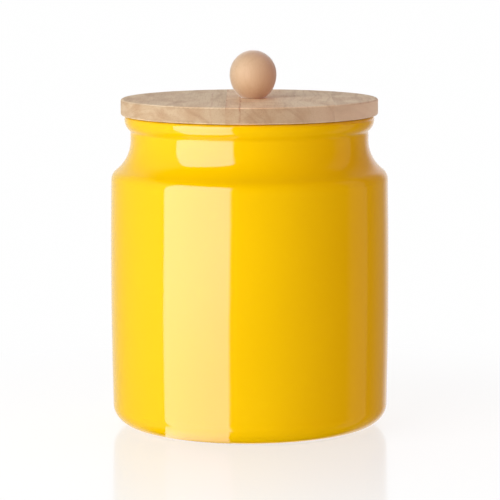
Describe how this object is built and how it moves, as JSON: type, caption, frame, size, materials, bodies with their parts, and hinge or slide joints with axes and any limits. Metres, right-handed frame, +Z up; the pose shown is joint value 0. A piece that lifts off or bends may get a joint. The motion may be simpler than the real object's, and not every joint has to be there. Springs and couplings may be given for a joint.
{
  "type": "kitchen canister",
  "caption": "Round glazed stoneware storage jar with a drawn-in neck and beaded rim, closed by a stave-built wooden lid with a lipped seal and a ball knob.",
  "frame": {"origin": "centre of the foot ring, on the surface that the jar stands on", "axes": "+Z up along the jar's axis; -Y towards the viewer of the picture, so +X is to the right; the lid's staves run along Y"},
  "size_m": [0.1488, 0.1488, 0.2013],
  "materials": {
    "glaze": "gloss",
    "lid_wood": "satin",
    "knob_wood": "satin",
    "silicone": "satin",
    "steel": "satin"
  },
  "bodies": {
    "jar": {"jar": "glaze"},
    "seal": {"seal_ring": "silicone"},
    "lid": {"lid_stave_left": "lid_wood", "lid_stave_middle": "lid_wood", "lid_stave_right": "lid_wood", "knob": "knob_wood", "knob_screw": "steel"}
  },
  "joints": [
    {"name": "lid_lift", "type": "slide", "parent": "jar", "child": "seal", "axis": [0, 0, 1], "range_m": [0, 0.12]},
    {"name": "lid_turn", "type": "hinge", "parent": "seal", "child": "lid", "pos_m": [0, 0, 0.16245], "axis": [0, 0, 1], "continuous": true}
  ]
}
